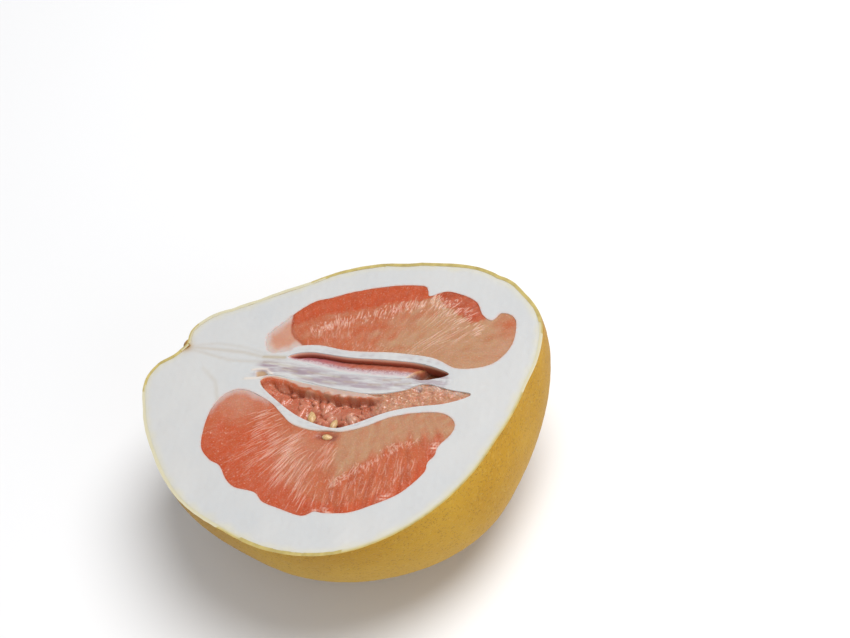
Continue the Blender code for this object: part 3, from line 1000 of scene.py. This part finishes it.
def describeUpper(x, y):
    height, border, tint = sacField(x, y, upperSacs)
    rise, glint = hairField(x, y, upperHairList)
    wobble = waves(x, y, 7, 5)
    tan = ramp(-2, 27, x - 0.3 * (y - 30) + 1.5 * wobble)
    overBand = heightOver(x, y, upperBand)
    band = ramp(-1.0, 1.2, overBand + 0.5 * waves(x, y, 3.5, 15))
    lobes = ramp(-1.5, 2.0, heightOver(x, y, lobeTops) + 0.6 * waves(x, y, 3.0, 16))
    zone = (0.46 + 0.54 * tan + 0.08 * wobble) * (1 - 0.95 * band) * (1 - 0.95 * lobes)
    zone *= 1 - 0.42 * spot(x, y, *upperSpots["hook"])
    away, _ = distanceToPath(x, y, wedgeEdge)
    wedge = np.where((heightOver(x, y, wedgeEdge) < 0) & (x < -20), ramp(0.0, 1.0, away), 0.0)
    seam = soft(away, 0.6) * (x < -21)
    edge = edgeDistance(x, y, segmentOutline("upper", 6)) + 0.3 * waves(x, y, 6, 18)
    pale = 0.75 * wedge + 0.25 * spot(x, y, *upperSpots["hookLight"])
    pale += 0.10 * (1 - band) * (0.5 + 0.5 * wobble)
    white = 0.6 * wedge * ramp(4.0, 0.0, edge)
    # Painted glints on the raised sac edges, and pale skin at the sac borders
    bright, trace = sacGlintAndFilm(glint, border)
    filmAndGlint = bright * (1 - wedge) + trace * (1 - band)
    filmAndGlint *= 1 - 0.6 * band * (1 - lobes) * ramp(2.0, 4.0, overBand)
    deep = 0.40 * seam + 0.14 * band * (0.5 + 0.5 * waves(x, y, 5, 17))
    deep += lobes * (0.24 + 0.16 * (tint < 0.5))
    height *= (1 - 0.6 * tan * (1 - lobes)) * (1 - 0.8 * wedge)
    top = pulpTop(x, y, height, rise, 0.12 * wedge + 0.2 * seam, 6)
    return top, {"zone": zone, "tint": tint, "filmAndGlint": filmAndGlint, "pale": pale, "deep": deep, "white": white}


makePulp("upper", describeUpper, makePulpMaterial("upperJuice"))
print("upper pulp made")

# Lower pulp

lowerGrain = (
    (-19, -21, 223), (-35, -22, 212), (-38, -35, 222), (-25, -38, 232), (-12, -30, 232), (3, -26, 235),
    (-8, -45, 246), (6, -40, 262), (15, -43, 273), (10, -52, 272), (24, -38, 283), (35, -43, 288),
    (47, -24, 287), (52, -32, 292), (45, -12, 300), (57, -14, 300), (57, 0, 330), (40, -4, 310),
    (27, -18, 285), (16, -24, 262), (8, -21, 245),
)
lowerSacLook = {**upperSacLook, "count": 1000}
lowerHairs = (
    (((-20, -18), (-19, -22), (-14, -24), (-8, -28), (-7, -34)),
     2.6, 66, (4, 9), (0.27, 0.39), 0.3, 0.64, 0.09),
    (((-14, -30), (-16, -36), (-10, -42)), 3.0, 40, (3, 7), (0.27, 0.34), 0.2, 0.45, 0.09),
    (((-2, -24), (0, -30), (3, -36), (5, -42)), 2.8, 70, (5, 12), (0.27, 0.41), 0.3, 0.68, 0.09),
    (((8, -30), (12, -38), (16, -43), (18, -48)), 2.4, 55, (3, 9), (0.27, 0.41), 0.25, 0.6, 0.09),
    (((27, -38), (29, -34), (33, -29), (37, -24), (41, -17), (45, -12), (51, -8)),
     1.1, 130, (1.0, 3.4), (0.29, 0.47), 0.3, 0.64, 0.5),
    (((22, -42), (31, -38), (40, -32), (47, -24), (54, -16)),
     3.0, 62, (2.0, 6.0), (0.27, 0.39), 0.25, 0.52, 0.16),
    (((24, -46), (34, -44), (44, -38), (52, -30), (58, -20)),
     2.0, 46, (1.5, 4.0), (0.27, 0.39), 0.25, 0.41, 0.16),
    (((14, -22), (17, -26), (18, -31)), 1.6, 26, (3, 7), (0.29, 0.47), 0.2, 0.52, 0.09),
    (((-36, -20), (-30, -35), (-15, -47), (5, -49)), 4.5, 80, (1.5, 4), (0.27, 0.34), 0.1, 0.22, 0.25),
    (((-36, -30), (-28, -42), (-10, -50), (8, -53)), 2.0, 36, (0.5, 1.0), (0.38, 0.47), 0.2, 0.6, 1.0),
)
tanEdge = (
    (14, -17), (17, -24), (22, -33), (27, -35), (33, -27), (38, -19), (44, -12), (50, -8.5), (57, -5),
    (64, -4),
)
lowerSpots = {
    "middle": (5, -30, 13, 15, -30),
    "paleTop": (-34, -17, 11, 7, 15),
    "seedHollow": (12.8, -18.5, 3.2, 2.1, 18),
    "orange": ((0.30, -41, -31, 4, 5), (0.16, -30, -24, 8, 7)),
    "nests": ((1, 9.6, -19.6, 2.2, 1.5, 20), (1, 15.8, -18.6, 2.0, 1.6, 60)),
    # Painted glints at the rim of the segment
    "rimGlints": (
        (31.5, -48.3, 2.2, 0.9, -10), (51.5, -34.5, 2.6, 1.1, 45), (59.5, -7.5, 1.6, 2.4, 0),
        (26.8, -49.8, 1.2, 0.8, 0),
    ),
}
lowerSacs = coverWithSacs("lower", lowerGrain, lowerSacLook, 13)
lowerHairList = drawHairs(lowerHairs, lowerGrain, 14)


def describeLower(x, y):
    height, border, tint = sacField(x, y, lowerSacs)
    rise, glint = hairField(x, y, lowerHairList)
    wobble = waves(x, y, 8, 7)
    tan = ramp(-5, 7, heightOver(x, y, tanEdge) + 0.8 * wobble) * ramp(13, 25, x + 0.2 * (y + 20))
    tan *= 0.9 + 0.1 * waves(x, y, 5, 35)
    outer = ramp(-41, -46, y + 0.12 * x + 0.5 * wobble)
    middle = spot(x, y, *lowerSpots["middle"])
    edge = edgeDistance(x, y, segmentOutline("lower", 6))
    zone = 0.44 + 0.12 * middle + 0.56 * tan - 0.40 * outer * (x < 40) + 0.06 * wobble
    zone -= 0.44 * ramp(10, -8, x + 0.75 * (y + 38)) * (1 - 0.7 * ramp(-30, -18, y))
    zone -= 0.10 * (1 - tan) * ramp(22, 34, x)
    zone -= 0.35 * ramp(6, 1, edge) * (x > 22) * (1 - tan)
    zone += spots(x, y, lowerSpots["orange"])
    pale = 0.22 * middle * (1 - tan) + 0.42 * spot(x, y, *lowerSpots["paleTop"]) + 0.12 * tan
    topLeft = ramp(-29, -20, y) * ramp(-17, -27, x)
    white = 0.5 * ramp(3.2, 0.0, edge + 0.3 * waves(x, y, 6, 19)) * topLeft
    patches = np.max([spot(x, y, *place) for place in lowerSpots["rimGlints"]], axis=0)
    # Painted glints on the raised sac edges and in the rim patches, and pale skin at the sac borders
    bright, trace = sacGlintAndFilm(glint, border)
    filmAndGlint = bright + trace * (1 - tan) + 0.8 * patches * np.clip(0.5 + 0.5 * waves(x, y, 1.6, 20), 0, 1)
    nest = spots(x, y, lowerSpots["nests"])
    hollow = spot(x, y, *lowerSpots["seedHollow"])
    deep = 0.85 * nest + 0.20 * (tint < 0.35) * (1 - tan) * (x > 20) + 0.08 * outer + 0.5 * hollow
    top = pulpTop(x, y, height * (1 - 0.7 * tan), rise, 1.3 * hollow + 0.5 * nest, 10)
    return top, {"zone": zone, "tint": tint, "filmAndGlint": filmAndGlint, "pale": pale, "deep": deep, "white": white}


makePulp("lower", describeLower, makePulpMaterial("lowerJuice"))
print("lower pulp made")

# Opened segment

openedGrain = (
    (-25, -4, 190), (-10, -6, 200), (0, -8, 230), (10, -8, 280), (20, -4, 320), (30, 4, 10), (45, 12, 15),
    (58, 17, 20),
)
openedSacLook = {
    "count": 330, "length": (3.6, 7.5), "width": (2.6, 4.4), "height": (0.8, 1.5), "lift": 0.7, "stray": 0.8,
}
openedGranuleLook = {
    "count": 2200, "length": (1.2, 3.2), "width": (0.8, 1.5), "height": (0.15, 0.32),
    "lift": 0.15, "stray": 0.5,
}
openedHairs = (
    (((26, 2), (34, 7), (44, 12), (56, 16)), 2.0, 110, (0.8, 2.2), (0.27, 0.43), 0.25, 0.52, 0.7),
    (((18, -4), (23, -2), (28, 2)), 1.8, 46, (1.0, 2.6), (0.27, 0.35), 0.2, 0.38, 0.3),
    (((-24, -6), (-14, -6), (-4, -7), (6, -8)), 1.8, 40, (0.5, 1.1), (0.34, 0.47), 0.2, 0.6, 1.0),
)
openedSpots = {
    "lumps": (
        (1.7, -0.9, 1.8, 1.1, 14), (13.9, 1.2, 1.5, 0.9, 14), (-6.5, -2.6, 2.2, 1.0, 14),
        (8.5, 0.2, 1.3, 0.8, 14),
    ),
    "paleSac": (17.4, -6.6, 2.6, 1.9, -20),
    "pit": (38.9, 13.6, 1.1, 0.9),
    "seedHollows": ((2.2, -1.8, -11.8, 2.8, 3.6), (2.0, 9.8, -11.8, 2.4, 3.2)),
    "pink": ((1, 8, -8.5, 4.5, 2.2, -15), (0.6, 47, 16.5, 3.5, 1.6, 15)),
    # White spots: pale torn tissue with painted glints
    "white": ((0.5, 38.4, 14.6, 2.0, 1.0, 20), (0.3, 55, 17.6, 4.5, 0.9, 12), (0.3, 46, 17.2, 5, 1.2, 14)),
    "deep": ((0.8, 15.2, -10.8, 1.9, 0.9, -10), (0.35, 4.5, -13.2, 6.0, 1.3)),
}
wallReach = ((-33, -26, -15, 0, 12, 24, 40), (1.8, 3.0, 3.8, 4.0, 3.4, 1.7, 1.0))  # by x, in mm
lipReach = ((-34, -22, -10, 4, 16, 28), (0.8, 1.1, 1.9, 2.3, 1.6, 0.8))
openedSacs = coverWithSacs("opened", openedGrain, openedSacLook, 21)
openedGranules = coverWithSacs("opened", openedGrain, openedGranuleLook, 23)
openedHairList = drawHairs(openedHairs, openedGrain, 22)


def describeOpened(x, y):
    # A torn wall under the upper edge, a bed of large sacs below it and fine granules at the right
    height, border, tint = sacField(x, y, openedSacs)
    fine, fineBorder, fineTint = sacField(x, y, openedGranules)
    rise, glint = hairField(x, y, openedHairList)
    below = outlineSpan(x, "opened")[1] - y + 0.12 * waves(x, y, 6, 24)
    full = ramp(19, 31, x + 0.6 * y)
    large = 1 - full
    reach = np.interp(x, *wallReach) + 0.25 * waves(x, y, 8, 26)
    wall = ramp(reach + 1.3, reach - 0.9, below) * large
    sacs = large * (1 - wall)
    groove = soft(below - reach - 0.9, 0.8) * large * ramp(-26, -16, x)
    lipWidth = np.interp(x, *lipReach) + 0.3 * waves(x, y, 4, 27)
    lip = ramp(lipWidth + 0.35, lipWidth - 0.35, below) * large
    gold = np.max([spot(x, y, *place) for place in openedSpots["lumps"]], axis=0)
    slope = -0.15 - 0.25 * np.clip(below, 0, 2) - 0.6 * np.clip(below - 2, 0, 6) + 1.1 * gold
    slope += 0.06 * waves(x, y, 5, 25) * ramp(0.5, 2, below)
    bed = large * (height - 5.0 + 1.4 * ramp(-14, -26, x))
    bed += full * (fine - 1.0 + 0.25 * waves(x, y, 4, 28))
    paleSac = spot(x, y, *openedSpots["paleSac"])
    bed += 0.5 * rise - 0.8 * groove + 1.6 * np.sqrt(paleSac) * (paleSac > 0.15)
    bed -= spots(x, y, openedSpots["seedHollows"])
    pit = spot(x, y, *openedSpots["pit"])
    top = np.minimum(bed * (1 - wall) + slope * wall - 1.4 * pit, -0.1)
    zone = 0.16 + 0.62 * full + 0.30 * wall * ramp(-28, -10, x) + 0.12 * waves(x, y, 5, 14)
    zone += 0.4 * gold + 0.3 * ramp(-24, -32, x) + 0.3 * lip
    pale = 0.85 * paleSac + 0.3 * spots(x, y, openedSpots["pink"]) + 0.16 * full + 0.8 * lip + 0.5 * gold
    pale += (0.20 + 0.16 * (tint > 0.5)) * sacs
    lipEdge = ramp(0.7, 0.1, below) * ramp(4, -12, x)
    # White: painted glints on pale tissue in spots, and the pale lip
    white = spots(x, y, openedSpots["white"]) + lip * (0.8 * lipEdge + 0.35 * ramp(-24, -14, x))
    # Painted glints on the raised sac edges; pale skin at the granule borders and on the lip
    filmAndGlint = 0.8 * glint + 0.07 * full * soft(fineBorder, 0.07) + 0.25 * lip * ramp(-8, -20, x)
    # Painted shade in the groove under the wall
    deep = 0.5 * groove + 0.8 * pit + 0.15 * full * (fineTint < 0.3) + spots(x, y, openedSpots["deep"])
    # Painted shade at the borders between the large sacs
    deep += sacs * (0.22 * (tint < 0.3) + 0.20 * soft(border, 0.25))
    return top, {"zone": zone, "tint": tint, "filmAndGlint": filmAndGlint, "pale": pale, "deep": deep, "white": white}


makePulp("opened", describeOpened, makePulpMaterial("openedJuice", (0.16, 0.32), 0.25, 0.16))
print("opened segment made")

# Cleft

cleftLook = {
    "speckle": (0.52, 0.42, 0.43),
    "mauve": (0.31, 0.16, 0.19),
    "magenta": (0.42, 0.14, 0.16),
    "white": pithLook["white"],
    # Painted shade for the deep pocket
    "pocketShade": (0.15, 0.042, 0.014),
    "ochre": (0.46, 0.27, 0.09),
    "roughness": 0.45,
    "inside": (0.25, (1.0, 0.5, 0.4), 0.002),
    "bump": ((1000, 3, 0.6), 0.35, 0.0004),
}


def makeCleftMaterial():
    material, tree = newMaterial("cleftSlope")
    speckled = multiply(tree, clouds(tree, 0.42, 0.60, 1100, 3, 0.6), readMark(tree, "spots"))
    upper = mixColour(tree, speckled, cleftLook["speckle"], cleftLook["mauve"])
    # The deep part is red brown, partly painted shade under the septum edge
    streak = clouds(tree, 0.38, 0.62, 700, 3, 0.6, (1, 4, 1), 10)
    lower = mixColour(tree, streak, wallLook["cleft"]["low"], wallLook["cleft"]["high"])
    lower = layColours(tree, lower, cleftLook, "magenta")
    colour = mixColour(tree, readMark(tree, "low"), upper, lower)
    # Painted shade darkens the deep pocket at the right
    return finishMaterial(material, layColours(tree, colour, cleftLook, "white", "pocketShade", "ochre"), cleftLook)


def describeCleft(x, y):
    # A slope that falls away from the strip, with a dark pocket at the right in painted shade
    low, high = outlineSpan(x, "cleft")
    across = np.clip((y - low) / np.maximum(high - low, 3.5), 0, 1)
    place = x - 0.35 * (y - 20)
    pocket = ramp(31.8, 34.6, place)
    depth = (0.15 + 1.0 * across + 3.4 * across ** 2) * (1 - pocket) + (5.5 + 2.0 * across) * pocket
    top = -depth + 0.12 * waves(x, y, 5, 31) * (0.2 + across)
    marks = {
        "white": ramp(0.22, 0.0, across + 0.03 * waves(x, y, 5, 32)) * (1 - pocket),
        "spots": ramp(0.05, 0.40, across),
        # Red brown in the deep part, partly painted shade under the septum edge
        "low": ramp(0.26, 0.60, across + 0.03 * waves(x, y, 6, 33)),
        "magenta": ramp(8, -14, x),
        # Painted shade in the deep pocket
        "pocketShade": pocket,
        "ochre": 0.5 * soft(place - 32.2, 0.45),
    }
    return top, marks


makePulp("cleft", describeCleft, makeCleftMaterial())
print("cleft made")

# Seeds

seedLook = {
    "pale": (0.62, 0.45, 0.24),
    "husk": (0.44, 0.27, 0.11),
    "roughness": 0.4,
    "inside": (0.2, (1.0, 0.7, 0.3), 0.001),
    "bump": ((1200, 3), 0.3, 0.0002),
}


def makeSeedMaterial():
    material, tree = newMaterial("paleSeed")
    grain = clouds(tree, 0.35, 0.65, 700, 3, 0.6, (0.3, 1, 1))
    return finishMaterial(material, mixColour(tree, grain, seedLook["husk"], seedLook["pale"]), seedLook)


def makeSeeds():
    material = makeSeedMaterial()
    for number in (1, 2, 3):
        node = f"seed_{number}"
        makeActive(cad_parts[node])
        bpy.ops.object.duplicate()
        seed = bpy.context.object
        seed.name = f"fruitSeed{number}"
        editAll(seed)
        bpy.ops.mesh.remove_doubles(threshold=0.00001)
        bpy.ops.mesh.normals_make_consistent(inside=False)
        setMode("OBJECT")
        applyModifier(seed, "SUBSURF", levels=2, render_levels=2)
        setMaterials(seed, material)
        finishPiece(seed, node, 60)


makeSeeds()
print("seeds made")

# Stem scar

scarLook = {
    "dark": (0.14, 0.07, 0.02),
    "light": (0.38, 0.21, 0.06),
    "roughness": 0.85,
    "bump": ((900, 4, 0.7), 0.6, 0.0005),
    "size": (1.7, 2.5, 2.6),
    "place": (-73.2, 0.0, 0.0),
    "belowFace": 0.0001,
}


def makeScar():
    # The dry stem button, cut with the fruit
    scar, unit = unitBall("driedStem", 48, 32)
    ribs = 1 + 0.05 * np.sin(9 * np.arctan2(unit[:, 2], unit[:, 1]))
    ribs += 0.03 * waves(9 * unit[:, 1], 9 * unit[:, 2], 3, 51)
    setPoints(scar, unit * np.array(scarLook["size"]) * ribs[:, None] + np.array(scarLook["place"]))
    trim(scar, faceLevel - scarLook["belowFace"], (0, 0, 1), True)
    fixNormals(scar)
    material, tree = newMaterial("dryStemButton")
    colour = mixColour(tree, clouds(tree, 0.35, 0.65, 500, 4, 0.65), scarLook["dark"], scarLook["light"])
    setMaterials(scar, finishMaterial(material, colour, scarLook))
    finishPiece(scar, "stem_scar", 50)


makeScar()
print("stem scar made")

# Stage, light and camera

stageLook = {
    "floor": (0.81, 0.812, 0.82),
    "world": (1.0, 1.0, 1.0),
    "worldStrength": 0.43,
    "lights": (
        ("softKey", 51.0, (0.8, 0.6, 2.05), 1.3),
        ("softFill", 3.0, (0.95, -0.25, 0.45), 0.8),
    ),
    "aim": (0, 0, 0.05),
}
cameraLook = {
    "target": (23.8, 44.4),  # point of the cut face at the middle of the picture, in mm
    "azimuth": 54.87,
    "elevation": 50.0,
    "roll": 30.0,
    "distance": 0.981,
    "lens": 101.65,
}


def placeInScene(name, data):
    item = bpy.data.objects.new(name, data)
    bpy.context.scene.collection.objects.link(item)
    return item


def makeStage():
    bpy.ops.mesh.primitive_plane_add(size=6, location=(0, 0, 0))
    floor = bpy.context.object
    floor.name = "paleFloor"
    material, tree = newMaterial("paleFloor")
    setInputs(tree.nodes["Principled BSDF"], {"Base Color": (*stageLook["floor"], 1), "Roughness": 0.9})
    setMaterials(floor, material)


def makeLights():
    world = bpy.data.worlds.new("softWorld")
    bpy.context.scene.world = world
    world.use_nodes = True
    background = world.node_tree.nodes["Background"]
    setInputs(background, {"Color": (*stageLook["world"], 1), "Strength": stageLook["worldStrength"]})
    for name, power, place, size in stageLook["lights"]:
        light = bpy.data.lights.new(name, "AREA")
        light.energy = power
        light.shape = "DISK"
        light.size = size
        lamp = placeInScene(name, light)
        lamp.location = place
        aim = Vector(stageLook["aim"]) - lamp.location
        lamp.rotation_euler = aim.to_track_quat("-Z", "Y").to_euler()


def makeCamera():
    lens = bpy.data.cameras.new("photoView")
    lens.lens = cameraLook["lens"]
    lens.sensor_width = 36
    camera = placeInScene("photoView", lens)
    azimuth = math.radians(cameraLook["azimuth"])
    elevation = math.radians(cameraLook["elevation"])
    outward = Vector((math.sin(azimuth), -math.cos(azimuth), 0))
    back = outward * math.cos(elevation) + Vector((0, 0, math.sin(elevation)))
    level = Vector((0, 0, 1)).cross(back).normalized()
    up = back.cross(level)
    roll = math.radians(cameraLook["roll"])
    right = level * math.cos(roll) - up * math.sin(roll)
    up = back.cross(right)
    target = faceCentre + Vector((*cameraLook["target"], 0)) * mm
    place = target + back * cameraLook["distance"]
    turned = Matrix((right, up, back)).transposed().to_4x4()
    camera.matrix_world = Matrix.Translation(place) @ turned
    bpy.context.scene.camera = camera


makeStage()
makeLights()
makeCamera()
bpy.context.scene.view_settings.view_transform = "Standard"
print("stage, light and camera made")
